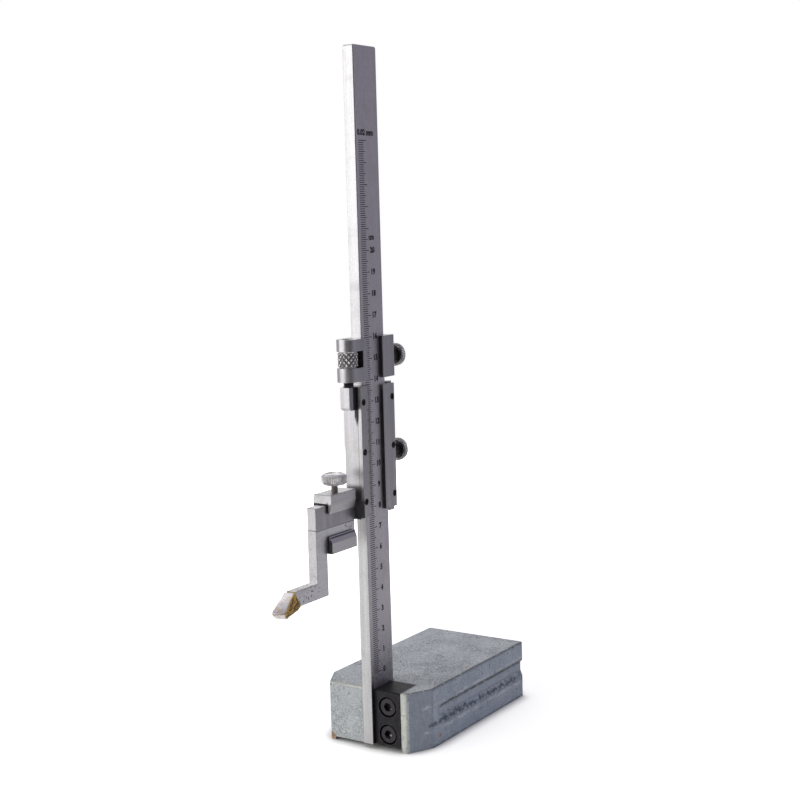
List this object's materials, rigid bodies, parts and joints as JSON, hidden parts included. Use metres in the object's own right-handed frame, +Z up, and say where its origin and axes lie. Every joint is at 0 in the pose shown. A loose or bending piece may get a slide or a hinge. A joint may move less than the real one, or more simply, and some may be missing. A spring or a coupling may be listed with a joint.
{
  "type": "vernier height gauge",
  "caption": "Vernier height gauge: graduated beam upright on a cast base, sliding vernier jaw with clamped carbide-tipped scriber and fine-adjustment carriage.",
  "frame": {"origin": "centre of the base's underside, on the datum plane the gauge measures from", "axes": "+Z up along the beam; -X towards the scriber; -Y is the side the scales face"},
  "size_m": [0.1676, 0.0574, 0.3292],
  "materials": {
    "hammertone_iron": "hammertone paint on cast iron",
    "satin_steel": "satin ground steel",
    "black_oxide": "black oxide",
    "spring_steel": "blued spring strip",
    "bright_chrome": "worn bright plating",
    "ground_carbide": "ground tungsten carbide",
    "braze": "raw braze, heat-stained"
  },
  "bodies": {
    "stand": {"base": "hammertone_iron", "beam": "satin_steel", "beam_clamp_block": "black_oxide", "beam_clamp_screws": "black_oxide"},
    "slider": {"slider_frame": "satin_steel", "vernier_plate": "satin_steel", "vernier_plate_screws": "black_oxide", "slider_cover_strip": "satin_steel", "cover_strip_screws": "black_oxide", "slider_leaf_spring": "spring_steel", "adjusting_rod": "black_oxide"},
    "slider_screw": {"slider_clamp_screw": "bright_chrome"},
    "carriage": {"carriage_frame": "satin_steel", "carriage_leaf_spring": "spring_steel"},
    "carriage_screw": {"carriage_clamp_screw": "bright_chrome"},
    "nut": {"adjusting_nut": "bright_chrome"},
    "holder_clamp": {"scriber_clamp": "satin_steel"},
    "thumb_screw": {"scriber_clamp_screw": "bright_chrome"},
    "holder": {"scriber": "satin_steel", "carbide_tip": "ground_carbide", "braze_seam": "braze"}
  },
  "joints": [
    {"name": "slider_slide", "type": "slide", "parent": "stand", "child": "slider", "axis": [0, 0, 1], "range_m": [-0.0776, 0.1224]},
    {"name": "slider_clamp_turn", "type": "hinge", "parent": "slider", "child": "slider_screw", "pos_m": [-0.0243, -0.0011, 0.1399], "axis": [1, 0, 0], "range_deg": [0, 720]},
    {"name": "nut_turn", "type": "hinge", "parent": "carriage", "child": "nut", "pos_m": [-0.0601, -0.0011, 0.187], "axis": [0, 0, 1], "range_deg": [-900, 1800]},
    {"name": "carriage_slide", "type": "slide", "parent": "slider", "child": "carriage", "axis": [0, 0, 1], "range_m": [-0.002, 0.004]},
    {"name": "carriage_clamp_turn", "type": "hinge", "parent": "carriage", "child": "carriage_screw", "pos_m": [-0.0243, -0.0011, 0.1859], "axis": [1, 0, 0], "range_deg": [0, 720]},
    {"name": "holder_clamp_slide", "type": "slide", "parent": "slider", "child": "holder_clamp", "axis": [1, 0, 0], "range_m": [0, 0.0026]},
    {"name": "thumb_screw_turn", "type": "hinge", "parent": "holder_clamp", "child": "thumb_screw", "pos_m": [-0.07045, 0.00135, 0.13], "axis": [0, 0, 1], "range_deg": [0, 720]},
    {"name": "holder_slide", "type": "slide", "parent": "slider", "child": "holder", "axis": [1, 0, 0], "range_m": [-0.012, 0]}
  ],
  "couplings": [
    {"joint": "nut_turn", "follows": "carriage_slide", "rad_per_m": 7854}
  ]
}
